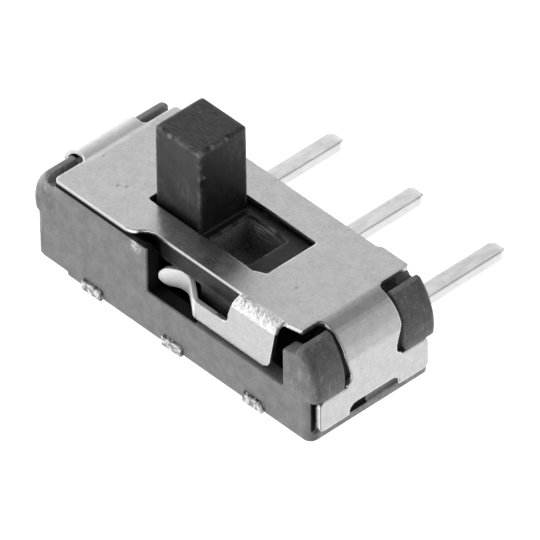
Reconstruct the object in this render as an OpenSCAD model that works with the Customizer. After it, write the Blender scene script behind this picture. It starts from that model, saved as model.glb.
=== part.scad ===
// Miniature slide switch, one pole and two positions, with its pins at a right angle to
// the handle. Millimetres. X runs along the slot, Y towards the pins and Z up through the
// handle. The origin is the middle of the housing's underside.

/* [Housing] */
// Length of the moulded body between its end faces
body_l = 8.53; // [8.4:0.01:9.4]
// Width of the moulded body over its front and rear walls
body_w = 3.5; // [3.4:0.1:4.2]
// Height of the moulded body, from its underside to the cover
body_h = 2.38; // [2.3:0.02:2.7]
// Radius of the upright corners of the body
corner_r = 0.24; // [0.1:0.01:0.3]
// Radius along the lower edges of the body
base_edge_r = 0.03; // [0.02:0.01:0.14]
// Radius along the upper edges of the front and rear walls
wall_edge_r = 0.1; // [0.03:0.01:0.14]
// Thickness of the front and rear walls
side_wall = 0.4; // [0.34:0.02:0.46]
// Thickness of the end walls
end_wall = 0.5; // [0.42:0.02:0.54]
// Depth of the seats in the end faces that the cover's end flaps lie in
seat_d = 0.065; // [0.04:0.005:0.1]
// Gap round a flap's foot in its seat
seat_gap = 0.055; // [0.03:0.005:0.07]
// Thickness of the floor of the well
floor_t = 0.4; // [0.34:0.02:0.46]
// Radius of the well's upright corners
well_r = 0.1; // [0.05:0.01:0.12]
// Width of the track in the floor that the moving contact runs in
track_w = 1.2; // [1.1:0.05:1.4]
// Height of the step under the left end of the base
heel_h = 0.12; // [0.06:0.02:0.2]
// Length of the step under the left end of the base
heel_l = 1; // [0.6:0.1:1]

/* [Corner lugs] */
// Distance between the two right lugs
lug_gap = 1.76; // [1.74:0.02:1.9]
// How far a right lug stands out past the end face at its widest
lug_out = 0.165; // [0.14:0.005:0.25]
// Radius of the sloping outer face of a lug
lug_face_r = 1.55; // [1.4:0.05:2]
// Height of the widest point of a right lug above the base
lug_face_z = 1.35; // [1.25:0.05:1.45]
// Height of the ledge under a right lug above the base
lug_ledge_z = 1.13; // [1.05:0.01:1.2]
// Distance between the two left lugs
left_lug_gap = 1.76; // [1.74:0.02:1.9]
// How far a left lug stands out past the end face at its widest
left_lug_out = 0.105; // [0.09:0.005:0.25]
// Radius of the rounded outer face of a left lug
left_lug_face_r = 1.15; // [1.05:0.05:1.6]
// Height of the widest point of a left lug above the base
left_lug_face_z = 1.56; // [1.4:0.02:1.6]
// Height of the ledge under a left lug above the base
left_lug_ledge_z = 1.29; // [1.15:0.01:1.35]
// How far a lug's top stands above the top of the body
lug_rise = 0.03; // [0.01:0.01:0.06]
// Radius along the front lugs' edges on the front face
lug_edge_r = 0.2; // [0.06:0.02:0.24]
// Radius along the rear lugs' upright edges on the rear face
rear_lug_edge_r = 0.12; // [0.06:0.02:0.24]
// Radius along the rear lugs' upper edges on the rear face
rear_lug_top_r = 0.06; // [0.04:0.01:0.2]
// Width of the relief groove between a lug and the cover
groove_w = 0.24; // [0.2:0.02:0.3]
// Depth of the relief groove below the top of the body
groove_d = 0.14; // [0.08:0.02:0.2]

/* [Front recess] */
// Left end of the recess in the front wall
recess_x0 = -0.76; // [-0.9:0.01:-0.7]
// Right end of the recess in the front wall
recess_x1 = 3.44; // [3.34:0.02:3.5]
// Height of the recess floor above the base
recess_z = 1.12; // [1.05:0.01:1.2]
// Radius of the recess's lower corners
recess_r = 0.06; // [0.03:0.01:0.16]
// Length of the bevel on the wall's inner top edge left of the recess
bevel_l = 0.52; // [0.3:0.02:0.6]
// Depth of that bevel
bevel_d = 0.34; // [0.2:0.02:0.4]
// Thickness of the lip that is left in front of that bevel
bevel_lip = 0.08; // [0.06:0.01:0.12]
// How far the top of the wall is lowered at the right end of the recess
post_drop = 0.23; // [0.1:0.01:0.3]

/* [Cover] */
// Thickness of the cover's sheet
sheet = 0.12; // [0.1:0.01:0.14]
// Gap between the cover's right flap and the floor of its seat
flap_gap = 0.06; // [0.03:0.01:0.1]
// Outer radius of the bend into the right flap
end_bend_r = 0.78; // [0.7:0.02:0.9]
// Gap between the cover's bends and the rounded upper edges of the body's ends
bend_gap = 0.035; // [0.03:0.005:0.05]
// Gap between the cover's left flap and the floor of its seat
left_gap = 0.01; // [0.01:0.01:0.06]
// Radius of the upward curve by which the left flap humps up off the plate
hump_r = 0.15; // [0.1:0.01:0.2]
// Angle of that curve
hump_angle = 25; // [20:1:35]
// Width of the right flap's neck where it leaves the plate
neck_w = 1.62; // [1.5:0.02:1.7]
// Width of the left flap's neck where it leaves the plate
left_neck_w = 1.64; // [1.5:0.02:1.7]
// Height above the base down to which the neck keeps that width
neck_z = 1.9; // [1.7:0.05:2.1]
// Width of an end flap's neck where it meets the foot
neck_low_w = 1.34; // [1.1:0.02:1.46]
// Height above the base at which the neck has tapered to its lower width
neck_low_z = 1.38; // [1.37:0.01:1.45]
// Radius of the corners between the plate and a flap's neck
root_r = 0.18; // [0.06:0.01:0.2]
// Radius of the corners between the neck and the foot
neck_r = 0.12; // [0.06:0.01:0.12]
// Height by which those corners lie above the foot's upper edge
neck_rise = 0.07; // [0.02:0.01:0.1]
// Width across an end flap's foot
foot_w = 3.16; // [2.9:0.02:3.24]
// Gap between the foot and the ledges of the lugs above it
foot_gap = 0.05; // [0.03:0.01:0.1]
// Height of the foot's lower edge above the base
foot_z = 0.28; // [0.2:0.01:0.34]
// Height of the lower edge of the left foot above the base
left_foot_z = 0.35; // [0.3:0.01:0.4]
// Radius of the foot's corners
foot_r = 0.14; // [0.06:0.01:0.18]
// Width of the arch cut from the middle of the foot
arch_w = 1.42; // [1:0.02:1.6]
// Height of the arch above the foot's lower edge
arch_h = 0.26; // [0.22:0.01:0.3]
// Radius of the arch's corners
arch_r = 0.2; // [0.1:0.01:0.21]
// Radius of the plate's corners
plate_r = 0.07; // [0.02:0.01:0.1]
// How far the front edge of the plate is cut back beside the front flap
front_cut = 0.33; // [0.3:0.01:0.36]
// Distance from the plate's left end to the start of that cut
front_wide_l = 2.17; // [2:0.01:2.3]
// Radius of both curves of the smooth step into that cut
front_step_r = 0.4; // [0.2:0.02:0.45]
// How much further the plate's front edge draws back towards its right corner
corner_cut = 0.09; // [0.04:0.01:0.12]
// How far the rear edge of the plate is cut back between its corners
rear_cut = 0.09; // [0.04:0.01:0.14]
// Length of each full-width corner of the plate's rear edge
rear_wide_l = 0.74; // [0.5:0.02:0.9]
// Radius of both curves of the smooth steps into the rear cut
rear_step_r = 0.2; // [0.12:0.01:0.3]
// How far the slot lies behind the middle of the body
slot_y = 0.04; // [0:0.01:0.08]
// Radius of the slot's corners
slot_r = 0.08; // [0.04:0.01:0.12]
// Length of the chamfer across the slot's front right corner
slot_chamfer_l = 0.28; // [0.2:0.02:0.34]
// Width of the chamfer across the slot's front right corner
slot_chamfer_w = 0.14; // [0.1:0.01:0.18]

/* [Front flap and detent arm] */
// Outer radius of the bend into the front flap
front_bend_r = 0.24; // [0.2:0.01:0.26]
// Left edge of the front flap where it leaves the plate
flap_x0 = 1.85; // [1.8:0.01:1.9]
// Right edge of the front flap where it leaves the plate
flap_x1 = 3.15; // [3.1:0.01:3.2]
// How far the flap's right edge leans in towards its lower corner
flap_slope = 0.2; // [0.1:0.02:0.26]
// Radius of the flap's lower right corner
flap_corner_r = 0.3; // [0.2:0.02:0.4]
// How far the flap's left edge leans out on its way down
flap_lean = 0.19; // [0.1:0.01:0.22]
// Height above the base at which that lean ends
flap_lean_z = 1.95; // [1.9:0.01:2.1]
// Radius of the notch between the flap's left edge and the arm
flap_notch_r = 0.2; // [0.12:0.01:0.22]
// Height of the detent arm's strip
arm_h = 0.5; // [0.44:0.02:0.52]
// Gap between the arm's lower edge and the recess floor
arm_gap = 0.05; // [0.02:0.01:0.06]
// Length of the straight run of the arm left of the notch
arm_straight = 0.78; // [0.74:0.01:0.82]
// Centre-line radius of the arm's first bend
arm_r = 0.22; // [0.18:0.01:0.26]
// Angle of the arm's first bend
arm_turn = 37; // [35:1:39]
// Length of the arm's sloping run towards the slider
arm_slope_l = 0.52; // [0.48:0.01:0.56]
// Centre-line radius of the arm's rounded nose
nose_r = 0.5; // [0.46:0.01:0.54]
// Angle that the nose turns through past its highest point
nose_fall = 30; // [28:1:32]
// Gap between the arm's rounded tip and the left end of the recess
tip_gap = 0.03; // [0.02:0.01:0.08]

/* [Slider] */
// Travel of the slider from one end position to the other
travel = 1.9; // [1.8:0.05:2]
// Length of the handle along the slot
handle_l = 1.4; // [1.3:0.02:1.5]
// Width of the handle across the slot
handle_w = 1.38; // [1.2:0.02:1.44]
// Height of the handle above the cover
handle_h = 2.05; // [1.5:0.05:4]
// Radius along the edges of the handle
handle_r = 0.07; // [0.03:0.01:0.1]
// Gap between the handle and the end of the slot at each end position
slot_end_gap = 0.11; // [0.07:0.01:0.16]
// Gap between the handle and each side of the slot
slot_side_gap = 0.1; // [0.08:0.01:0.14]
// Running gap between the slider and the walls of the well
run_gap = 0.05; // [0.03:0.01:0.06]
// Gap between the slider's top and the underside of the cover
top_gap = 0.06; // [0.05:0.01:0.1]
// Thickness of the slider's top flange
flange_t = 0.52; // [0.46:0.02:0.54]
// Gap between the slider's detent crest and the nose of the arm
crest_gap = 0.03; // [0.02:0.01:0.05]
// Height of the slider's detent crest
crest_h = 0.12; // [0.08:0.01:0.14]
// Radius of the slider's detent crest
crest_r = 0.3; // [0.24:0.02:0.36]
// Distance from the handle to the pocket beside it
pocket_gap = 0.21; // [0.15:0.01:0.24]
// Length of each pocket in the slider's top
pocket_l = 1.16; // [1:0.02:1.22]
// Width of each pocket in the slider's top
pocket_w = 1.12; // [0.9:0.02:1.3]
// Depth of each pocket in the slider's top
pocket_d = 0.8; // [0.6:0.05:0.9]
// Radius of each pocket's upright corners
pocket_r = 0.06; // [0.03:0.01:0.1]
// Radius of the peg under the slider that the moving contact hangs on
peg_r = 0.16; // [0.12:0.01:0.2]
// Length of that peg below the moving contact
peg_out = 0.12; // [0.08:0.01:0.16]

/* [Terminals] */
// Distance between neighbouring terminals
pitch = 2.5; // [2.4:0.02:2.54]
// Thickness of the terminals
pin_t = 0.25; // [0.2:0.01:0.28]
// Width of a terminal's pin
pin_w = 0.44; // [0.4:0.02:0.5]
// How far the row of terminals sits right of the middle of the body
pin_shift = 0.05; // [0:0.01:0.06]
// Length of a pin past the rear face of the body
pin_l = 3.68; // [2:0.04:5]
// Length of the taper at a pin's tip
pin_taper_l = 0.14; // [0.1:0.01:0.3]
// Width of a pin's tip
pin_tip_w = 0.3; // [0.2:0.02:0.36]
// Thickness of a pin's tip
pin_tip_t = 0.15; // [0.1:0.01:0.18]
// Width of a terminal's cut-off front stub
stub_w = 0.6; // [0.5:0.02:0.7]
// How far the stub stands out of the front face
stub_out = 0.08; // [0.04:0.01:0.1]
// Width of a terminal's contact pad
pad_w = 1.2; // [1.1:0.02:1.24]
// Length of a terminal's contact pad
pad_l = 1.5; // [1.45:0.05:1.6]

/* [Moving contact] */
// Thickness of the moving contact's sheet
clip_t = 0.1; // [0.08:0.01:0.12]
// Width of the moving contact
clip_w = 0.9; // [0.8:0.02:0.98]
// Distance between the moving contact's two feet
clip_span = 2.5; // [2.4:0.02:2.6]
// Length of the moving contact's flat back
clip_back_l = 0.9; // [0.8:0.02:1]
// Angle at which the moving contact's legs slope down
clip_angle = 22; // [20:1:24]
// Centre-line radius of the moving contact's bends
clip_bend_r = 0.2; // [0.16:0.01:0.24]
// Angle that each foot turns up past its lowest point
clip_lift = 40; // [30:2:50]
// Gap between the moving contact's hole and its peg
clip_hole_gap = 0.03; // [0.02:0.01:0.05]
// Gap between the moving contact's feet and the pads
clip_gap = 0.01; // [0.01:0.005:0.02]

/* [Hidden] */
$fn = 48;
// Overshoot of cuts past the faces that they open
past = 0.2;

cover_top = body_h + sheet;
well_l = body_l - 2 * end_wall;
well_w = body_w - 2 * side_wall;

// Floor of a seat, where both end flaps leave the plate, and the radius of the body's
// upper end edges
seat_x = body_l / 2 - seat_d;
plate_end = seat_x + flap_gap + sheet - end_bend_r;
end_edge_r = body_l / 2 - plate_end + bend_gap;

// Lugs
lug_x = plate_end + groove_w;
lug_top = body_h + lug_rise;

// Front flap: edge of the cut-back plate, the flap's outer face and the arm's height
front_edge = front_cut - body_w / 2;
flap_face = front_edge - front_bend_r;
arm_z0 = recess_z + arm_gap;
arm_z1 = arm_z0 + arm_h;
notch_x = flap_x0 - flap_lean - flap_notch_r;
arm_x0 = notch_x - arm_straight;
arm_y = flap_face + sheet / 2;

// Plan of the arm: where its nose is highest, and how far in that face of it reaches
nose_x = arm_x0 - (arm_r + nose_r) * sin(arm_turn) - arm_slope_l * cos(arm_turn);
nose_y = arm_y + (arm_r + nose_r) * (1 - cos(arm_turn)) + arm_slope_l * sin(arm_turn) + sheet / 2;
tip_x = recess_x0 + tip_gap;
fall_l = (nose_x - nose_r * sin(nose_fall) - tip_x) / cos(nose_fall);

// Slot, and the slider at rest at the left end of its travel
slot_l = handle_l + travel + 2 * slot_end_gap;
slot_w = handle_w + 2 * slot_side_gap;
slider_x = -travel / 2;
carriage_l = well_l - travel - 2 * run_gap;
carriage_w = well_w - 2 * run_gap;
carriage_top = body_h - top_gap;
flange_z = carriage_top - flange_t;
core_front = nose_y + crest_gap + crest_h;

// Moving contact: straight length of a leg, and the height of the back's two faces
clip_leg_l = ((clip_span - clip_back_l) / 2 - 2 * clip_bend_r * sin(clip_angle)) / cos(clip_angle);
clip_z0 = pin_t + clip_gap + 2 * clip_bend_r * (1 - cos(clip_angle)) + clip_leg_l * sin(clip_angle);
clip_z1 = clip_z0 + clip_t;

// ---- Shared shapes ----

// Rectangle centred on the origin, with all four corners rounded
module rounded(l, w, r) {
    square([l - 2 * r, w], center = true);
    square([l, w - 2 * r], center = true);
    for (x = [-1, 1], y = [-1, 1])
        translate([x * (l / 2 - r), y * (w / 2 - r)])
            circle(r);
}

// Rectangle standing on the ground line, with its lower and upper corners rounded
module upright(w, h, low_r, top_r) {
    intersection() {
        translate([0, h])
            rounded(w, 2 * h, low_r);
        rounded(w, 2 * h, top_r);
    }
}

// Extrudes a drawing made in X and Z along Y, from y0 to y1
module along_y(y0, y1) {
    translate([0, y1, 0])
        rotate([90, 0, 0])
            linear_extrude(y1 - y0)
                children();
}

// Extrudes a drawing made in Y and Z along X, from x0 to x1
module along_x(x0, x1) {
    translate([x0, 0, 0])
        rotate([90, 0, 90])
            linear_extrude(x1 - x0)
                children();
}

// The shape and its mirror image at the other end of the part
module both_ends() {
    children();
    mirror([1, 0, 0])
        children();
}

// The shape and its mirror image at the other side of the part
module both_sides() {
    children();
    mirror([0, 1, 0])
        children();
}

// Quarter bend and straight leg of a folded sheet in section. The bend leaves the plate
// at the origin and the leg ends drop below it.
module fold(r, drop) {
    translate([0, -r]) {
        intersection() {
            difference() {
                circle(r);
                circle(r - sheet);
            }
            square(r);
        }
        translate([r - sheet, r - drop])
            square([sheet, drop - r]);
    }
}

// A bent strip that starts at the origin along +X and runs through its steps in turn.
// A step is [length, 0] for a straight run, or [radius, angle] for a bend on the centre
// line, which turns left where the angle is positive.
module strip(steps, t, h, i = 0) {
    if (i < len(steps)) {
        size = steps[i][0];
        angle = steps[i][1];
        side = sign(angle);
        if (angle == 0) {
            translate([0, -t / 2, 0])
                cube([size, t, h]);
            translate([size, 0, 0])
                strip(steps, t, h, i + 1);
        } else {
            translate([0, side * size, 0]) {
                rotate([0, 0, side > 0 ? -90 : 90 + angle])
                    rotate_extrude(angle = abs(angle))
                        translate([size - t / 2, 0])
                            square([t, h]);
                rotate([0, 0, angle])
                    translate([0, -side * size, 0])
                        strip(steps, t, h, i + 1);
            }
        }
    }
}

// ---- Cover ----

// Cut of length l into an edge that runs along X, entered at both ends by a smooth step
// whose two curves have the given radius
module edge_cut(l, depth, step_r) {
    run = sqrt(4 * step_r * depth - depth * depth);
    difference() {
        union() {
            polygon([
                [0, -past], [0, 0], [run / 2, depth / 2], [run, depth],
                [l - run, depth], [l - run / 2, depth / 2], [l, 0], [l, -past],
            ]);
            for (x = [run, l - run])
                translate([x, depth - step_r])
                    circle(step_r);
        }
        for (x = [0, l])
            translate([x, step_r])
                circle(step_r);
    }
}

// Slot in the plate, with one corner chamfered
module slot() {
    translate([0, slot_y])
        difference() {
            rounded(slot_l, slot_w, slot_r);
            translate([slot_l / 2, -slot_w / 2])
                polygon([
                    [-slot_chamfer_l, 0], [0, slot_chamfer_w], [past, slot_chamfer_w],
                    [past, -past], [-slot_chamfer_l, -past],
                ]);
        }
}

// Outline of an end flap, seen along X, with a neck of the given width at the plate and
// its foot between the given heights
module end_flap_outline(top_w, low, high) {
    difference() {
        union() {
            polygon([
                [-top_w / 2, cover_top + hump_r], [-top_w / 2, neck_z],
                [-neck_low_w / 2, neck_low_z], [-neck_low_w / 2, high - foot_r],
                [neck_low_w / 2, high - foot_r], [neck_low_w / 2, neck_low_z],
                [top_w / 2, neck_z], [top_w / 2, cover_top + hump_r],
            ]);
            translate([-neck_low_w / 2 - neck_r, high - foot_r])
                square([neck_low_w + 2 * neck_r, foot_r + neck_rise + neck_r]);
            translate([0, (low + high) / 2])
                rounded(foot_w, high - low, foot_r);
        }
        for (side = [-1, 1])
            translate([side * (neck_low_w / 2 + neck_r), high + neck_rise + neck_r])
                circle(neck_r);
        translate([0, low])
            rounded(arch_w, 2 * arch_h, arch_r);
    }
}

// Outline of the root of an end flap's neck, seen from above
module neck_root(top_w) {
    difference() {
        translate([plate_end, -top_w / 2 - root_r])
            square([root_r, top_w + 2 * root_r]);
        for (side = [-1, 1])
            translate([plate_end + root_r, side * (top_w / 2 + root_r)])
                circle(root_r);
    }
}

// End flap on the right of the part, at the given gap from the floor of its seat. Before
// it bends down, it humps up off the plate through the given angle.
module end_flap(gap, hump, top_w, low, high) {
    plane = seat_x + gap + sheet;
    run = plane - sheet / 2 - plate_end;
    bend_r = (run - (hump > 0 ? hump_r * sin(hump) : 0)) / (1 + sin(hump));
    rise = (hump_r + bend_r) * (1 - cos(hump));
    leg_l = cover_top - sheet / 2 + rise - bend_r - low;
    intersection() {
        translate([plate_end, foot_w / 2, cover_top - sheet / 2])
            rotate([90, 0, 0])
                strip(concat(hump > 0 ? [[hump_r, hump]] : [], [[bend_r, -90 - hump], [leg_l, 0]]),
                      sheet, foot_w);
        union() {
            along_x(plate_end, plane)
                end_flap_outline(top_w, low, high);
            translate([0, 0, neck_z])
                linear_extrude(cover_top)
                    neck_root(top_w);
        }
    }
}

// Outline of the front flap and the straight run of the arm, seen along Y
module front_flap_outline() {
    neck_x = flap_x0 - flap_lean;
    corner_x = flap_x1 - flap_slope - flap_corner_r;
    corner_z = arm_z0 + flap_corner_r;
    difference() {
        union() {
            polygon([
                [arm_x0, arm_z0], [corner_x, arm_z0], [corner_x, corner_z],
                [corner_x + flap_corner_r, corner_z], [flap_x1, cover_top],
                [flap_x0, cover_top], [neck_x, flap_lean_z], [neck_x, arm_z1 + flap_notch_r],
                [notch_x, arm_z1 + flap_notch_r], [notch_x, arm_z1], [arm_x0, arm_z1],
            ]);
            translate([corner_x, corner_z])
                circle(flap_corner_r);
            translate([notch_x, arm_z1])
                square(flap_notch_r);
        }
        translate([notch_x, arm_z1 + flap_notch_r])
            circle(flap_notch_r);
    }
}

// Side view of the arm left of its straight run, with the end of its round tip above the
// origin
module arm_outline() {
    translate([arm_h / 2, arm_h / 2])
        circle(arm_h / 2);
    translate([arm_h / 2, 0])
        square([arm_x0 - tip_x - arm_h / 2, arm_h]);
}

// Plate, end flaps, front flap and detent arm, all cut and folded from one sheet
module cover() {
    color("silver") {
        translate([0, 0, body_h])
            linear_extrude(sheet)
                difference() {
                    rounded(2 * plate_end, body_w, plate_r);
                    translate([flap_x1, front_edge])
                        polygon([
                            [0, -past], [0, 0], [plate_end - flap_x1, corner_cut],
                            [plate_end, corner_cut], [plate_end, -past],
                        ]);
                    translate([-plate_end + front_wide_l, -body_w / 2])
                        edge_cut(2 * plate_end, front_cut, front_step_r);
                    translate([-plate_end + rear_wide_l, body_w / 2])
                        mirror([0, 1])
                            edge_cut(2 * (plate_end - rear_wide_l), rear_cut, rear_step_r);
                    slot();
                }
        end_flap(flap_gap, 0, neck_w, foot_z, lug_ledge_z - foot_gap);
        mirror([1, 0, 0])
            end_flap(left_gap, hump_angle, left_neck_w, left_foot_z, left_lug_ledge_z - foot_gap);
        intersection() {
            along_x(arm_x0, flap_x1)
                translate([front_edge, cover_top])
                    mirror([1, 0])
                        fold(front_bend_r, cover_top - arm_z0);
            along_y(flap_face, front_edge)
                front_flap_outline();
        }
        intersection() {
            translate([arm_x0, arm_y, arm_z0])
                rotate([0, 0, 180])
                    strip([
                        [arm_r, -arm_turn], [arm_slope_l, 0], [nose_r, arm_turn + nose_fall],
                        [fall_l + sheet, 0],
                    ], sheet, arm_h);
            along_y(flap_face, 0)
                translate([tip_x, arm_z0])
                    arm_outline();
        }
    }
}

// ---- Housing ----

// Body without its lugs, rounded over at the top of each end for the cover's bends
module body_block() {
    intersection() {
        linear_extrude(body_h)
            rounded(body_l, body_w, corner_r);
        along_x(-body_l / 2, body_l / 2)
            upright(body_w, body_h, base_edge_r, wall_edge_r);
        along_y(-body_w / 2, body_w / 2)
            upright(body_l, body_h, base_edge_r, end_edge_r);
    }
}

// Lug on the rear right corner: a snap wedge with a sloping outer face over a flat ledge.
// It starts the given distance from the middle of the body and stands out past the end
// face by the given amount at the given height, where its face has the given radius.
module lug(inner_y, out, face_r, face_z, ledge_z, edge_r, top_r) {
    reach = body_l / 2 + out;
    lug_w = body_w / 2 - inner_y;
    intersection() {
        translate([reach - face_r, inner_y, face_z])
            rotate([-90, 0, 0])
                rotate_extrude($fn = 96)
                    intersection() {
                        rounded(2 * face_r, 2 * lug_w, edge_r);
                        square([face_r, lug_w]);
                    }
        along_y(inner_y, body_w / 2)
            translate([lug_x, ledge_z])
                square([reach, lug_top - ledge_z]);
        along_x(lug_x, reach)
            rounded(body_w, 2 * lug_top, top_r);
    }
}

// The two lugs of the right end
module right_lugs(inner_y, out, face_r, face_z, ledge_z) {
    lug(inner_y, out, face_r, face_z, ledge_z, rear_lug_edge_r, rear_lug_top_r);
    mirror([0, 1, 0])
        lug(inner_y, out, face_r, face_z, ledge_z, lug_edge_r, lug_edge_r);
}

// Seat for a flap in the right end face, with its foot's lower edge and the lugs' ledges
// at the given heights, and the relief grooves beside the lugs
module right_seat(inner_y, low, ledge_z) {
    seat_w = foot_w / 2 + seat_gap;
    along_x(seat_x, body_l)
        polygon([
            [-seat_w, low - seat_gap], [seat_w, low - seat_gap], [seat_w, ledge_z],
            [inner_y, ledge_z], [inner_y, body_h + past], [-inner_y, body_h + past],
            [-inner_y, ledge_z], [-seat_w, ledge_z],
        ]);
    both_sides()
        translate([plate_end, inner_y, body_h - groove_d])
            cube([groove_w, body_w, body_h]);
}

// Bevel on the inner top edge of the front wall, left of the recess
module wall_bevel() {
    lip_y = bevel_lip - body_w / 2;
    inner_y = -well_w / 2;
    along_x(recess_x0 - bevel_l, recess_x0 + past)
        polygon([
            [lip_y, body_h + past], [lip_y, body_h], [inner_y, body_h - bevel_d],
            [inner_y + past, body_h - bevel_d], [inner_y + past, body_h + past],
        ]);
}

// Lowered top of the front wall between the recess and the right lug
module wall_drop() {
    low_z = body_h - post_drop;
    along_y(-body_w / 2 - past, -well_w / 2)
        polygon([
            [recess_x1 - past, low_z], [recess_x1, low_z], [lug_x, body_h - groove_d],
            [lug_x, body_h + past], [recess_x1 - past, body_h + past],
        ]);
}

// Moulded body, cut for the slider, the detent arm and the terminals
module housing() {
    color("dimgray")
        difference() {
            union() {
                body_block();
                right_lugs(lug_gap / 2, lug_out, lug_face_r, lug_face_z, lug_ledge_z);
                mirror([1, 0, 0])
                    right_lugs(left_lug_gap / 2, left_lug_out, left_lug_face_r, left_lug_face_z,
                               left_lug_ledge_z);
            }
            translate([0, 0, floor_t])
                linear_extrude(body_h)
                    rounded(well_l, well_w, well_r);
            translate([-well_l / 2, -track_w / 2, pin_t])
                cube([well_l, track_w, body_h]);
            right_seat(lug_gap / 2, foot_z, lug_ledge_z);
            mirror([1, 0, 0])
                right_seat(left_lug_gap / 2, left_foot_z, left_lug_ledge_z);
            along_y(-body_w / 2 - past, -well_w / 2 + past)
                translate([(recess_x0 + recess_x1) / 2, recess_z + body_h])
                    rounded(recess_x1 - recess_x0, 2 * body_h, recess_r);
            wall_bevel();
            wall_drop();
            translate([-body_l / 2 - past, -body_w, -past])
                cube([heel_l + past, 2 * body_w, heel_h + past]);
            for (i = [-1, 0, 1])
                translate([pin_shift + i * pitch, 0, -past])
                    linear_extrude(pin_t + past)
                        terminal_outline();
        }
}

// ---- Slider ----

// Handle and carriage in one moulding, with the peg for the moving contact
module slider() {
    handle_top = cover_top + handle_h;
    color("darkslategray")
        translate([slider_x, 0, 0]) {
            difference() {
                union() {
                    translate([0, 0, flange_z])
                        linear_extrude(flange_t)
                            rounded(carriage_l, carriage_w, well_r);
                    translate([-carriage_l / 2, core_front, clip_z1])
                        cube([carriage_l, carriage_w / 2 - core_front - well_r, flange_z - clip_z1 + past]);
                    translate([nose_x, core_front - crest_h + crest_r, clip_z1])
                        cylinder(r = crest_r, h = flange_z - clip_z1 + past);
                    translate([0, slot_y, flange_z])
                        intersection() {
                            linear_extrude(handle_top - flange_z)
                                rounded(handle_l, handle_w, handle_r);
                            along_x(-handle_l / 2, handle_l / 2)
                                rounded(handle_w, 2 * (handle_top - flange_z), handle_r);
                            along_y(-handle_w / 2, handle_w / 2)
                                rounded(handle_l, 2 * (handle_top - flange_z), handle_r);
                        }
                }
                for (side = [-1, 1])
                    translate([side * (handle_l / 2 + pocket_gap + pocket_l / 2), 0,
                               carriage_top - pocket_d])
                        linear_extrude(pocket_d + past)
                            rounded(pocket_l, pocket_w, pocket_r);
            }
            translate([0, 0, clip_z0 - peg_out])
                cylinder(r = peg_r, h = clip_t + peg_out + past);
        }
}

// ---- Terminals and moving contact ----

// Outline of a terminal seen from above: stub, pad and pin
module terminal_outline() {
    stub_y = -body_w / 2 - stub_out;
    tip_y = body_w / 2 + pin_l;
    polygon([
        [-stub_w / 2, stub_y], [stub_w / 2, stub_y], [stub_w / 2, -pad_l / 2],
        [pad_w / 2, -pad_l / 2], [pad_w / 2, pad_l / 2], [pin_w / 2, pad_l / 2],
        [pin_w / 2, tip_y - pin_taper_l], [pin_tip_w / 2, tip_y], [-pin_tip_w / 2, tip_y],
        [-pin_w / 2, tip_y - pin_taper_l], [-pin_w / 2, pad_l / 2], [-pad_w / 2, pad_l / 2],
        [-pad_w / 2, -pad_l / 2], [-stub_w / 2, -pad_l / 2],
    ]);
}

// A terminal at the given place in the row: stub, pad and pin in one flat blank
module terminal(i) {
    tip_y = body_w / 2 + pin_l;
    color("gainsboro")
        translate([pin_shift + i * pitch, 0, 0])
            intersection() {
                linear_extrude(pin_t)
                    terminal_outline();
                along_x(-pitch / 2, pitch / 2)
                    polygon([
                        [-body_w, 0], [tip_y - pin_taper_l, 0], [tip_y, (pin_t - pin_tip_t) / 2],
                        [tip_y, (pin_t + pin_tip_t) / 2], [tip_y - pin_taper_l, pin_t],
                        [-body_w, pin_t],
                    ]);
            }
}

// Terminal that the contact reaches in the left position
module terminal_left() {
    terminal(-1);
}

// Middle terminal, which the contact touches in both positions
module terminal_common() {
    terminal(0);
}

// Terminal that the contact reaches in the right position
module terminal_right() {
    terminal(1);
}

// Bridge of spring strip under the slider that joins two neighbouring pads
module moving_contact() {
    color("goldenrod")
        translate([slider_x, 0, 0])
            difference() {
                both_ends()
                    translate([0, clip_w / 2, clip_z0 + clip_t / 2])
                        rotate([90, 0, 0])
                            strip([
                                [clip_back_l / 2, 0], [clip_bend_r, -clip_angle], [clip_leg_l, 0],
                                [clip_bend_r, clip_angle + clip_lift],
                            ], clip_t, clip_w);
                translate([0, 0, clip_z0 - past])
                    cylinder(r = peg_r + clip_hole_gap, h = clip_t + 2 * past);
            }
}

cover();
housing();
slider();
moving_contact();
terminal_left();
terminal_common();
terminal_right();
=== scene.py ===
"""Looks of the slide switch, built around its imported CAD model.

Every solid is refined from its CAD node: it is remeshed finely, its edges are eased as a moulding,
a stamping or a worn knob has them, and it gets a procedural material. Sizes inside the functions
that refine a solid, and in the materials' patterns, are in millimetres. Everything in the scene is
in metres.
"""

import math

import bmesh
import bpy
import numpy as np
from mathutils import Matrix, Vector


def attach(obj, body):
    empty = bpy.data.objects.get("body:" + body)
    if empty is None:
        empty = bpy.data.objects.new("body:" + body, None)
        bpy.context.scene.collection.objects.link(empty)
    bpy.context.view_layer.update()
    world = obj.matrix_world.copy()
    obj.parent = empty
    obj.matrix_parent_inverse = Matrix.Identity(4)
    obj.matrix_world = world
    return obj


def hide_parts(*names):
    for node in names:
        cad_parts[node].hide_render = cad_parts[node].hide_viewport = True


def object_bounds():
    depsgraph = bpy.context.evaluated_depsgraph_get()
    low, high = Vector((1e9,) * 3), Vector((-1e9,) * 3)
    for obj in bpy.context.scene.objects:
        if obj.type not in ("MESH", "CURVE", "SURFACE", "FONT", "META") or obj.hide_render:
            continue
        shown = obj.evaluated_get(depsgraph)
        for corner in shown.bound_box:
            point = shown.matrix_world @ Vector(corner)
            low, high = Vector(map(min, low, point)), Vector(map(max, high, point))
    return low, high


# A millimetre in the scene's metres
MM = 0.001
# How near to each other the corners of a CAD mesh are welded, in millimetres
WELD = 0.0005
# How far one pass of easing moves a corner towards its neighbours' middle
EASE = 0.5
# How much more a large face counts than a small one in the smooth shading, out of 100
FACE_WEIGHT = 80

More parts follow.
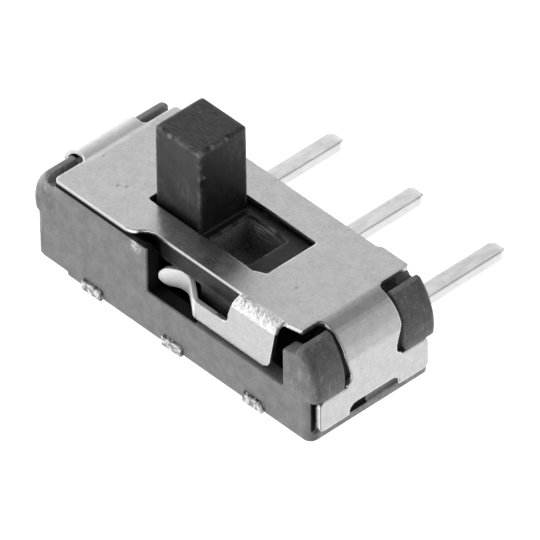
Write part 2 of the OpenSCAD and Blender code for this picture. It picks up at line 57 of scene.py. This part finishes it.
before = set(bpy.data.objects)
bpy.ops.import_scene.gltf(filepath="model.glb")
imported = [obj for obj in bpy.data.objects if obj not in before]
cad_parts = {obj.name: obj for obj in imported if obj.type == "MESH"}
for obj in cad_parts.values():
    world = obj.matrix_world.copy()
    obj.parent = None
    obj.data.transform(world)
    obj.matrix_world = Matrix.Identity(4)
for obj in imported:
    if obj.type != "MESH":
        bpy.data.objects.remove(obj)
cad_low, cad_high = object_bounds()


# ---- Solids ----

def mesh_object(name, mesh):
    piece = bpy.data.objects.new(name, mesh)
    bpy.context.scene.collection.objects.link(piece)
    return piece


def evaluated_mesh(piece):
    """The mesh that the piece's modifiers make, as a mesh of its own."""
    graph = bpy.context.evaluated_depsgraph_get()
    return bpy.data.meshes.new_from_object(piece.evaluated_get(graph))


def node_solid(node):
    """A CAD node's mesh in millimetres, with the seams between its faces welded."""
    solid = bmesh.new()
    solid.from_mesh(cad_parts[node].data)
    bmesh.ops.scale(solid, vec=(1 / MM, 1 / MM, 1 / MM), verts=solid.verts)
    bmesh.ops.remove_doubles(solid, verts=solid.verts, dist=WELD)
    mesh = bpy.data.meshes.new(node)
    solid.to_mesh(mesh)
    solid.free()
    return mesh


def eased(mesh, voxel, passes, triangles, worn=None):
    """Remeshes a solid in cells of the given size, eases its edges and thins out its flats.

    Where worn is given as a height and a number of passes, what stands above it is eased further.
    """
    piece = mesh_object("easing", mesh)
    remesh = piece.modifiers.new("cells", "REMESH")
    remesh.mode = "VOXEL"
    remesh.voxel_size = voxel
    smooth = piece.modifiers.new("ease", "SMOOTH")
    smooth.factor = EASE
    smooth.iterations = passes
    fine = evaluated_mesh(piece)
    piece.modifiers.clear()
    piece.data = fine
    count = len(fine.polygons) * 2
    if worn:
        height, more = worn
        group = piece.vertex_groups.new(name="worn")
        group.add([v.index for v in fine.vertices if v.co.z > height], 1.0, "REPLACE")
        wear = piece.modifiers.new("wear", "SMOOTH")
        wear.factor = EASE
        wear.iterations = more
        wear.vertex_group = "worn"
    thin = piece.modifiers.new("thin", "DECIMATE")
    thin.ratio = min(1.0, triangles / count)
    result = evaluated_mesh(piece)
    bpy.data.objects.remove(piece)
    return result


def with_block(mesh, low, high):
    """Adds a block to a solid, for the remeshing to join to it."""
    block = bmesh.new()
    block.from_mesh(mesh)
    size = [b - a for a, b in zip(low, high)]
    middle = [(a + b) / 2 for a, b in zip(low, high)]
    place = Matrix.Translation(middle) @ Matrix.Diagonal((*size, 1))
    bmesh.ops.create_cube(block, size=1.0, matrix=place)
    block.to_mesh(mesh)
    block.free()
    return mesh


def finished(name, mesh, material, slot, body, *nodes):
    """Puts a solid made in millimetres in its place, in metres, for the CAD nodes it stands for."""
    mesh.transform(Matrix.Scale(MM, 4))
    mesh.shade_smooth()
    mesh.materials.clear()
    mesh.materials.append(material)
    piece = mesh_object(name, mesh)
    normals = piece.modifiers.new("normals", "WEIGHTED_NORMAL")
    normals.weight = FACE_WEIGHT
    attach(piece, body)
    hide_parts(*nodes)
    return piece


# ---- Materials ----

class Surface:
    """A procedural material. Its patterns are laid out in the part's own millimetres."""

    def __init__(self, name, metallic):
        self.material = bpy.data.materials.new(name)
        self.material.use_nodes = True
        self.tree = self.material.node_tree
        self.shader = self.tree.nodes["Principled BSDF"]
        self.shader.inputs["Metallic"].default_value = metallic
        place = self.tree.nodes.new("ShaderNodeTexCoord")
        scale = self.tree.nodes.new("ShaderNodeMapping")
        scale.inputs["Scale"].default_value = (1 / MM, 1 / MM, 1 / MM)
        self.link(place.outputs["Object"], scale.inputs["Vector"])
        self.millimetres = scale.outputs["Vector"]
        self.normal = place.outputs["Normal"]

    def link(self, out, into):
        self.tree.links.new(out, into)

    def noise(self, size, detail, roughness, stretch=(1, 1, 1), shift=(0, 0, 0)):
        """Noise from 0 to 1 whose cells are about the given size, longer where stretch is under 1."""
        place = self.tree.nodes.new("ShaderNodeMapping")
        place.inputs["Location"].default_value = shift
        place.inputs["Scale"].default_value = stretch
        self.link(self.millimetres, place.inputs["Vector"])
        node = self.tree.nodes.new("ShaderNodeTexNoise")
        node.inputs["Scale"].default_value = 1 / size
        node.inputs["Detail"].default_value = detail
        node.inputs["Roughness"].default_value = roughness
        self.link(place.outputs["Vector"], node.inputs["Vector"])
        return node.outputs["Fac"]

    def ramp(self, value, low, high, start=0.0, end=1.0):
        """Maps low..high to start..end with soft ends, and holds both ends beyond them."""
        node = self.tree.nodes.new("ShaderNodeMapRange")
        node.interpolation_type = "SMOOTHSTEP"
        node.inputs["From Min"].default_value = low
        node.inputs["From Max"].default_value = high
        node.inputs["To Min"].default_value = start
        node.inputs["To Max"].default_value = end
        self.link(value, node.inputs["Value"])
        return node.outputs["Result"]

    def combined(self, operation, first, *others):
        """Combines sockets or numbers, one after the other."""
        result = first
        for value in others:
            node = self.tree.nodes.new("ShaderNodeMath")
            node.operation = operation
            for socket, term in zip(node.inputs, (result, value)):
                if isinstance(term, (int, float)):
                    socket.default_value = term
                else:
                    self.link(term, socket)
            result = node.outputs["Value"]
        return result

    def plus(self, *values):
        return self.combined("ADD", *values)

    def times(self, *values):
        return self.combined("MULTIPLY", *values)

    def most(self, *values):
        return self.combined("MAXIMUM", *values)

    def near(self, spots):
        """One at each spot's place in millimetres, falling to nothing at its radius."""
        return self.most(*[self.spot(place, radius) for place, radius in spots])

    def spot(self, place, radius):
        node = self.tree.nodes.new("ShaderNodeVectorMath")
        node.operation = "DISTANCE"
        node.inputs[1].default_value = place
        self.link(self.millimetres, node.inputs[0])
        return self.ramp(node.outputs["Value"], radius, 0.3 * radius)

    def within(self, low, high, soft):
        """One inside a box in millimetres, falling to nothing over a soft width. None is no limit."""
        node = self.tree.nodes.new("ShaderNodeSeparateXYZ")
        self.link(self.millimetres, node.inputs["Vector"])
        limits = []
        for place, start, stop in zip(node.outputs, low, high):
            if start is not None:
                limits.append(self.ramp(place, start - soft / 2, start + soft / 2))
            if stop is not None:
                limits.append(self.ramp(place, stop + soft / 2, stop - soft / 2))
        return self.times(*limits)

    def upward(self):
        """One where the surface faces up, falling to nothing on its sides."""
        node = self.tree.nodes.new("ShaderNodeSeparateXYZ")
        self.link(self.normal, node.inputs["Vector"])
        return self.ramp(node.outputs["Z"], 0.45, 0.8)

    def attribute(self, name):
        node = self.tree.nodes.new("ShaderNodeAttribute")
        node.attribute_name = name
        return node.outputs["Fac"]

    def grey(self, value):
        """Greys the base colour by a value."""
        node = self.tree.nodes.new("ShaderNodeCombineColor")
        for socket in node.inputs:
            self.link(value, socket)
        self.link(node.outputs["Color"], self.shader.inputs["Base Color"])

    def rough(self, value):
        self.link(value, self.shader.inputs["Roughness"])

    def shine(self, value):
        """Sets how strongly a plastic reflects, from none at 0 to plain gloss at 0.5."""
        self.link(value, self.shader.inputs["Specular IOR Level"])

    def relief(self, *layers):
        """Bumps from heights of 0 to 1, each with its depth in millimetres."""
        below = None
        for height, depth in layers:
            node = self.tree.nodes.new("ShaderNodeBump")
            node.inputs["Strength"].default_value = 1.0
            node.inputs["Distance"].default_value = depth * MM
            self.link(height, node.inputs["Height"])
            if below:
                self.link(below, node.inputs["Normal"])
            below = node.outputs["Normal"]
        self.link(below, self.shader.inputs["Normal"])


# Marks are laid out in millimetres, either as places with radii or as boxes with their lowest and
# their highest corner, where None is no limit.

# On the cover: stains in the plating, the fold at the top of the front flap with a painted highlight,
# the spring arm with painted light on its nose and painted shade on its upward faces, the bend at
# the left end with a painted highlight, and painted shadow on the underside of the plate's front rim
PLATE_STAINS = [
    ((-3.43, -0.49, 2.5), 0.05),
    ((-2.50, -0.94, 2.5), 0.055),
    ((-2.34, -0.83, 2.5), 0.07),
    ((2.53, -0.47, 2.5), 0.06),
    ((-3.80, -0.46, 2.5), 0.05),
]
FLAP_FOLD = ((1.7, -1.75, 2.22), (3.3, -1.40, 2.56))
ARM = ((-1.0, None, 1.1), (1.25, -1.0, 1.8))
ARM_NOSE = ((-1.0, None, 1.0), (0.62, -1.0, 1.8))
LEFT_BEND = ((None, -0.92, 2.25), (-3.55, 0.92, None))
RIM_UNDERSIDE = ((-3.8, -1.75, 2.33), (1.8, -1.36, 2.428))


def plated_steel():
    """Satin plated sheet: fine grain, soft waviness, pits and stains, a crazed fold, with painted
    highlights on the fold, the arm's nose and the left bend, and painted shade on the arm's paler,
    duller upward faces and under the front rim.
    """
    s = Surface("plated_steel", 1.0)
    wave = s.noise(0.5, 2.0, 0.5)
    cloud = s.noise(0.22, 3.0, 0.6)
    grain = s.noise(0.035, 2.0, 0.6)
    mottle = s.ramp(s.noise(0.09, 3.0, 0.5, shift=(2, 6, 3)), 0.3, 0.7, -0.028, 0.028)
    pits = s.ramp(s.noise(0.09, 1.0, 0.5, shift=(4.2, 1.7, 0.3)), 0.70, 0.78)
    stains = s.most(s.near(PLATE_STAINS), s.times(pits, 0.5))
    fold = s.within(*FLAP_FOLD, 0.06)
    # Crazing in the fold: a real relief, and a painted highlight where it lightens the fold's tone
    craze_and_painted_highlight = s.times(s.ramp(s.noise(0.08, 3.0, 0.7, shift=(6, 2, 9)), 0.35, 0.65), fold)
    # The arm's nose: painted light that lightens its tone, and a duller finish
    nose = s.within(*ARM_NOSE, 0.1)
    # The arm's upward faces: painted shade, a grey band of paler tone and much duller finish for the
    # plate's shade over them
    edge = s.times(s.within(*ARM, 0.02), s.upward())
    # The bend at the left end: a painted highlight that lightens its tone, and a duller finish
    bend = s.within(*LEFT_BEND, 0.2)
    # The underside of the plate's front rim: painted shadow
    rim = s.within(*RIM_UNDERSIDE, 0.03)

    tone = s.plus(
        s.ramp(cloud, 0.25, 0.75, 0.60, 0.66),
        mottle,
        s.times(stains, -0.22),
        # painted highlight along the fold
        s.times(craze_and_painted_highlight, 0.4),
        # painted light on the arm's nose
        s.times(nose, 0.34),
        # painted shade on the arm's upward faces
        s.times(edge, 0.12),
        # painted highlight on the left bend
        s.times(bend, 0.32),
    )
    # The rim's underside is darkened to a tenth: painted shadow
    s.grey(s.times(tone, s.ramp(rim, 0, 1, 1.0, 0.1)))
    sheen = s.ramp(s.noise(0.3, 3.0, 0.6, shift=(7, 3, 1)), 0.3, 0.7, 0.24, 0.31)
    dull = s.plus(s.times(fold, 0.25), s.times(nose, 0.4))
    s.rough(s.plus(sheen, s.most(dull, s.times(bend, 0.48), s.times(edge, 0.7))))
    s.relief((wave, 0.003), (cloud, 0.0005), (grain, 0.00007), (stains, -0.0015), (craze_and_painted_highlight, 0.016))
    return s.material


# On the housing: light scuffs by the recess, corners that handling has rubbed, the chalky strip under
# the right end flap, painted light on the tops of the left lugs, and painted shade in the joint under
# the rim, in the slit and arch by the right end flap and at the end and floor of the recess
HOUSING_SCUFFS = [
    ((-1.08, -1.75, 2.16), 0.22),
    ((-1.13, -1.75, 2.32), 0.16),
]
HOUSING_RUBS = [
    ((3.6, None, 1.25), (None, -0.7, None)),
    ((3.6, 0.7, 1.25), (None, None, None)),
    ((None, None, 1.5), (-3.6, -0.8, None)),
    ((None, 0.8, 1.5), (-3.6, None, None)),
    ((None, None, 0.3), (-4.0, -1.5, 1.5)),
]
END_STRIP = ((4.0, -1.5, None), (None, None, 0.6))
# Painted light: the tops of the left lugs are made paler
LUG_TOPS = ((None, None, 2.05), (-3.5, None, None))
# Painted shade: these boxes are darkened and made less glossy where shade falls
JOINT_UNDER_RIM = ((-3.63, None, 2.29), (3.5, None, None))
SLIT_BESIDE_FLAP = ((4.0, -1.67, 0.27), (None, -1.54, 1.14))
ARCH_UNDER_FLAP = ((4.0, -0.58, 0.20), (None, -0.10, 0.40))
RECESS_END = ((-0.80, -1.70, 1.1), (-0.70, -1.2, 2.3))
RECESS_FLOOR = ((-0.80, -1.71, 0.7), (0.70, -1.2, 1.3))
HOUSING_PAINTED_SHADE = [JOINT_UNDER_RIM, SLIT_BESIDE_FLAP, ARCH_UNDER_FLAP, RECESS_END, RECESS_FLOOR]


def grey_plastic():
    """Filled grey moulding compound: fine grain, cloudy tone, scuffs, rubbed corners, painted light on
    the left lugs' tops and painted shade in the joint, slit, arch and recess.
    """
    s = Surface("grey_plastic", 0.0)
    cloud = s.noise(0.35, 4.0, 0.6)
    grain = s.noise(0.05, 3.0, 0.6)
    speckle = s.ramp(s.noise(0.045, 2.0, 0.6, shift=(5, 5, 2)), 0.3, 0.7, -0.022, 0.022)
    blots = s.ramp(s.noise(0.12, 2.0, 0.5, shift=(2, 5, 1)), 0.66, 0.76)
    broken = s.ramp(s.noise(0.06, 2.0, 0.6, shift=(3, 7, 5)), 0.40, 0.62, 0.2, 1.0)
    streaks = s.noise(0.1, 3.0, 0.7, stretch=(1, 1, 0.3), shift=(8, 3, 2))
    rubbed = s.most(*[s.within(*place, 0.1) for place in HOUSING_RUBS])
    chalk = s.noise(0.1, 3.0, 0.6, shift=(6, 1, 7))
    painted_shade = s.most(*[s.within(*place, 0.04) for place in HOUSING_PAINTED_SHADE])

    tone = s.plus(
        s.ramp(cloud, 0.25, 0.75, 0.162, 0.235),
        speckle,
        s.times(blots, -0.035),
        s.times(s.near(HOUSING_SCUFFS), broken, 0.45),
        s.times(rubbed, s.ramp(streaks, 0.5, 0.75, -0.04, 0.10)),
        s.times(s.within(*END_STRIP, 0.1), s.ramp(chalk, 0.3, 0.7, 0.08, 0.22)),
        # painted light on the tops of the left lugs
        s.times(s.within(*LUG_TOPS, 0.3), 0.11),
    )
    # Painted shade darkens the colour and cuts the gloss
    s.grey(s.times(tone, s.ramp(painted_shade, 0, 1, 1.0, 0.06)))
    s.shine(s.ramp(painted_shade, 0, 1, 0.5, 0.05))
    s.rough(s.ramp(s.noise(0.2, 3.0, 0.6, shift=(3, 1, 8)), 0.3, 0.7, 0.48, 0.62))
    s.relief((cloud, 0.003), (grain, 0.0026))
    return s.material


# On the slider: the top of the handle, the carriage under the cover with painted shade, the inside of
# the pocket and the side of the body painted lighter as painted light, the pocket's scratched rear
# wall, specks and smudges
HANDLE_TOP = ((None, None, 4.42), (None, None, None))
CARRIAGE = ((None, None, None), (None, None, 2.3))
POCKET = ((-0.08, -0.58, None), (1.16, 0.64, 2.26))
POCKET_SCRATCHES = ((0.10, 0.5, 1.95), (0.75, None, 2.3))
BODY_SIDE = ((0.3, None, 1.2), (1.9, -1.1, 1.85))
SLIDER_SPECKS = [
    ((-1.19, -0.64, 4.50), 0.09),
    ((-1.27, 0.32, 4.55), 0.03),
    ((-0.25, -0.53, 3.85), 0.055),
    ((-0.26, 0.14, 4.52), 0.07),
    ((-0.27, -0.26, 4.52), 0.09),
    ((-0.30, -0.60, 4.50), 0.10),
]
SLIDER_SMUDGES = [
    ((-1.50, -0.65, 2.85), 0.45),
    ((-0.75, -0.65, 3.30), 0.50),
    ((-0.25, 0.45, 4.10), 0.55),
]


def black_plastic():
    """Black moulded knob: fine grain, drag lines, specks, rubbed edges, painted light in the pocket
    and on the body's side, and painted shade on the carriage.
    """
    s = Surface("black_plastic", 0.0)
    cloud = s.noise(0.25, 4.0, 0.6)
    grain = s.noise(0.045, 3.0, 0.6)
    drag = s.noise(0.08, 3.0, 0.6, stretch=(1, 1, 0.22), shift=(5, 2, 0))
    brushed = s.noise(0.05, 3.0, 0.7, stretch=(0.22, 1, 1), shift=(3, 3, 7))
    dust = s.ramp(s.noise(0.055, 2.0, 0.5, shift=(9, 4, 2)), 0.72, 0.80)
    scratches = s.ramp(s.noise(0.07, 1.0, 0.5, stretch=(0.12, 1, 1), shift=(1, 5, 6)), 0.52, 0.66)
    patchy = s.ramp(s.noise(0.22, 4.0, 0.65, shift=(2, 9, 5)), 0.38, 0.64)
    top = s.within(*HANDLE_TOP, 0.06)
    # Painted light: the inside of the pocket, and less so the side of the body, are lightened
    painted_fill = s.most(s.within(*POCKET, 0.08), s.times(s.within(*BODY_SIDE, 0.2), 0.3))

    tone = s.plus(
        s.ramp(cloud, 0.25, 0.75, 0.008, 0.020),
        s.times(s.ramp(drag, 0.5, 0.8), 0.014),
        s.times(s.near(SLIDER_SMUDGES), s.ramp(drag, 0.35, 0.7, 0.004, 0.035)),
        s.times(top, s.ramp(brushed, 0.35, 0.75, -0.006, 0.05)),
        # painted light in the pocket and on the body's side
        s.times(painted_fill, s.ramp(brushed, 0.3, 0.7, 0.14, 0.40)),
        s.times(dust, 0.06),
        s.times(s.within(*POCKET_SCRATCHES, 0.1), scratches, 0.5),
        s.times(s.near(SLIDER_SPECKS), 0.16),
        s.times(s.attribute("edge"), patchy, 0.11),
    )
    s.grey(tone)
    # The carriage under the cover reflects less: painted shade
    s.shine(s.ramp(s.within(*CARRIAGE, 0.1), 0, 1, 0.42, 0.36))
    s.rough(s.ramp(s.noise(0.15, 3.0, 0.6, shift=(3, 6, 8)), 0.3, 0.7, 0.34, 0.5))
    s.relief((cloud, 0.003), (grain, 0.0016), (s.times(brushed, top), 0.002))
    return s.material


# The sheared front ends of the pins, under the front wall
PIN_STUBS = ((None, None, None), (None, -1.70, None))


def tinned_metal():
    """Tin-plated pins: smeared plating, duller patches, and torn dark hollows in the sheared ends."""
    s = Surface("tinned_metal", 1.0)
    smear = s.noise(0.16, 3.0, 0.6, stretch=(1, 0.35, 1))
    grain = s.noise(0.04, 2.0, 0.6)
    patches = s.ramp(s.noise(0.2, 3.0, 0.6, shift=(1, 8, 3)), 0.58, 0.72)
    stub = s.within(*PIN_STUBS, 0.04)
    torn = s.times(stub, s.ramp(s.noise(0.12, 2.0, 0.6, shift=(4, 4, 4)), 0.40, 0.62))
    bright = s.ramp(smear, 0.3, 0.7, 0.76, 0.88)
    s.grey(s.plus(bright, s.times(patches, -0.12), s.times(torn, -0.45), s.times(stub, -0.12)))
    s.rough(s.plus(s.ramp(smear, 0.3, 0.7, 0.28, 0.4), s.times(stub, 0.2)))
    s.relief((smear, 0.003), (grain, 0.0008), (torn, -0.03))
    return s.material


def contact_strip():
    """Silvered spring strip, drawn along its length."""
    s = Surface("contact_strip", 1.0)
    drawn = s.noise(0.03, 3.0, 0.6, stretch=(0.1, 1, 1))
    s.grey(s.ramp(drawn, 0.3, 0.7, 0.58, 0.7))
    s.rough(s.ramp(drawn, 0.3, 0.7, 0.2, 0.32))
    s.relief((drawn, 0.0008))
    return s.material


def edge_mask(mesh, reach):
    """Marks the vertices along outer edges, from how far the surface bends away within reach."""
    count = len(mesh.vertices)
    places = np.empty(count * 3)
    normals = np.empty(count * 3)
    ends = np.empty(len(mesh.edges) * 2, dtype=np.int64)
    mesh.vertices.foreach_get("co", places)
    mesh.vertices.foreach_get("normal", normals)
    mesh.edges.foreach_get("vertices", ends)
    places, normals, ends = places.reshape(-1, 3), normals.reshape(-1, 3), ends.reshape(-1, 2)
    along = places[ends[:, 1]] - places[ends[:, 0]]
    length = np.maximum(np.linalg.norm(along, axis=1), 1e-6)
    bend = ((normals[ends[:, 1]] - normals[ends[:, 0]]) * along).sum(axis=1) / length ** 2
    total, weight = np.zeros(count), np.zeros(count)
    for end in (0, 1):
        np.add.at(total, ends[:, end], bend)
        np.add.at(weight, ends[:, end], 1)
    mask = np.clip(total / np.maximum(weight, 1) * reach, 0, 1)
    mesh.attributes.new("edge", "FLOAT", "POINT").data.foreach_set("value", mask)


# ---- Pieces ----

# Right of the detent the slider's body is as wide as its flange
BODY_BLOCK = ((0.42, -1.285, 1.24), (1.8, -0.8, 1.9))
# The top of the handle is rounder with wear: the height from which it is, and the passes more
HANDLE_WEAR = (4.15, 13)
# The size of the worn edges on the slider
EDGE_REACH = 0.16

cover = eased(node_solid("cover"), voxel=0.02, passes=1, triangles=90000)
finished("cover_sheet", cover, plated_steel(), "plated_steel", "base", "cover")

housing = eased(node_solid("housing"), voxel=0.025, passes=2, triangles=130000)
finished("housing_moulding", housing, grey_plastic(), "housing_plastic", "base", "housing")

slider = with_block(node_solid("slider"), *BODY_BLOCK)
slider = eased(slider, voxel=0.025, passes=5, triangles=90000, worn=HANDLE_WEAR)
edge_mask(slider, EDGE_REACH)
finished("slider_moulding", slider, black_plastic(), "slider_plastic", "slide", "slider")

tin = tinned_metal()
for side in ("left", "common", "right"):
    pin = eased(node_solid(f"terminal_{side}"), voxel=0.02, passes=1, triangles=14000)
    finished(f"pin_{side}", pin, tin, "tinned_metal", "base", f"terminal_{side}")

clip = eased(node_solid("moving_contact"), voxel=0.02, passes=1, triangles=12000)
finished("contact_clip", clip, contact_strip(), "contact_strip", "slide", "moving_contact")


# ---- Camera ----

# Degrees round from the front, up and of roll
AZIMUTH, ELEVATION, ROLL = math.radians(47.23), math.radians(40.644), math.radians(-0.605)
# In metres
DISTANCE = 0.25
LOOK_AT = Vector((0.000431, 0.000701, 0.001))
NEAREST, FARTHEST = 0.01, 10
# In millimetres, a long lens that hardly narrows the part towards its far end
LENS, SENSOR = 787.53, 36


def main_camera():
    across = math.cos(ELEVATION)
    back = Vector((math.sin(AZIMUTH) * across, -math.cos(AZIMUTH) * across, math.sin(ELEVATION)))
    level = Vector((math.cos(AZIMUTH), math.sin(AZIMUTH), 0))
    upright = back.cross(level)
    right = math.cos(ROLL) * level + math.sin(ROLL) * upright
    up = math.cos(ROLL) * upright - math.sin(ROLL) * level
    turn = Matrix((right, up, back)).transposed().to_4x4()
    camera = bpy.data.objects.new("camera", bpy.data.cameras.new("camera"))
    camera.data.lens = LENS
    camera.data.sensor_width = SENSOR
    camera.data.clip_start = NEAREST
    camera.data.clip_end = FARTHEST
    camera.matrix_world = Matrix.Translation(LOOK_AT + back * DISTANCE) @ turn
    bpy.context.scene.collection.objects.link(camera)
    bpy.context.scene.camera = camera


main_camera()


# ---- Floor and light ----

# How far the floor reaches each way and how far it lies under the part, in metres
FLOOR_REACH = 1.0
FLOOR_GAP = 0.00001


def white_floor():
    """A floor that shows plain white. It adds no light: what is under the part is a soft light."""
    grid = bmesh.new()
    bmesh.ops.create_grid(grid, x_segments=1, y_segments=1, size=FLOOR_REACH)
    mesh = bpy.data.meshes.new("floor")
    grid.to_mesh(mesh)
    grid.free()
    material = bpy.data.materials.new("floor")
    material.use_nodes = True
    shader = material.node_tree.nodes["Principled BSDF"]
    shader.inputs["Base Color"].default_value = (0.9, 0.9, 0.9, 1)
    shader.inputs["Roughness"].default_value = 0.9
    shader.inputs["Emission Color"].default_value = (1, 1, 1, 1)
    shader.inputs["Emission Strength"].default_value = 1.0
    mesh.materials.append(material)
    floor = mesh_object("floor", mesh)
    floor.location.z = cad_low[2] - FLOOR_GAP
    floor.visible_diffuse = False
    floor.visible_glossy = False
    floor.visible_shadow = False


# Places for soft round lights stand evenly all about the part, on a spiral from top to bottom. The
# lights stand on some of them: the place's number and the light's strength.
PLACES = 48
SOFT_LIGHTS = {
    3: 0.08, 6: 0.14, 9: 0.27, 11: 0.24, 12: 0.55, 14: 0.07, 16: 0.28, 17: 1.11, 19: 0.05, 20: 0.25,
    22: 0.04, 23: 0.44, 24: 0.35, 25: 0.77, 27: 0.11, 28: 0.40, 29: 0.10, 30: 0.64, 31: 0.46, 32: 0.20,
    33: 0.15, 35: 0.35, 36: 0.70, 37: 0.38, 38: 0.32, 40: 0.57, 43: 0.27, 44: 0.26, 45: 0.42, 46: 0.12,
    47: 0.17,
}
# Degrees from a soft light's middle to its edge
SOFT_SPREAD = 50
# Narrower ones, with the way towards each, its strength and its spread: a light off the left end,
# one low in front, and over the right end a dark card, which takes light away
NARROW_LIGHTS = [
    ((-0.840, 0.525, 0.139), 1.05, 33),
    ((0.198, -0.740, -0.643), 0.45, 36),
    ((0.000, 0.545, 0.839), -0.11, 31),
]
# Faint light from everywhere
FILL = 0.02


def spiral_way(number):
    """The way from the part towards a place on the spiral."""
    height = 1 - (2 * number + 1) / PLACES
    turn = number * math.pi * (3 - math.sqrt(5))
    out = math.sqrt(1 - height ** 2)
    return out * math.cos(turn), out * math.sin(turn), height


def soft_lights():
    world = bpy.data.worlds.new("studio")
    bpy.context.scene.world = world
    world.use_nodes = True
    tree = world.node_tree
    shader = tree.nodes["Background"]
    shader.inputs["Color"].default_value = (1, 1, 1, 1)
    way = tree.nodes.new("ShaderNodeTexCoord").outputs["Generated"]
    lights = [(spiral_way(number), strength, SOFT_SPREAD) for number, strength in SOFT_LIGHTS.items()]
    total = None
    for towards, strength, spread in lights + NARROW_LIGHTS:
        facing = tree.nodes.new("ShaderNodeVectorMath")
        facing.operation = "DOT_PRODUCT"
        facing.inputs[1].default_value = towards
        tree.links.new(way, facing.inputs[0])
        glow = tree.nodes.new("ShaderNodeMapRange")
        glow.interpolation_type = "SMOOTHSTEP"
        glow.inputs["From Min"].default_value = math.cos(math.radians(spread))
        glow.inputs["To Max"].default_value = strength
        tree.links.new(facing.outputs["Value"], glow.inputs["Value"])
        both = tree.nodes.new("ShaderNodeMath")
        both.operation = "ADD"
        tree.links.new(glow.outputs["Result"], both.inputs[0])
        if total:
            tree.links.new(total, both.inputs[1])
        else:
            both.inputs[1].default_value = FILL
        total = both.outputs["Value"]
    tree.links.new(total, shader.inputs["Strength"])


white_floor()
soft_lights()
bpy.context.scene.view_settings.view_transform = "Standard"
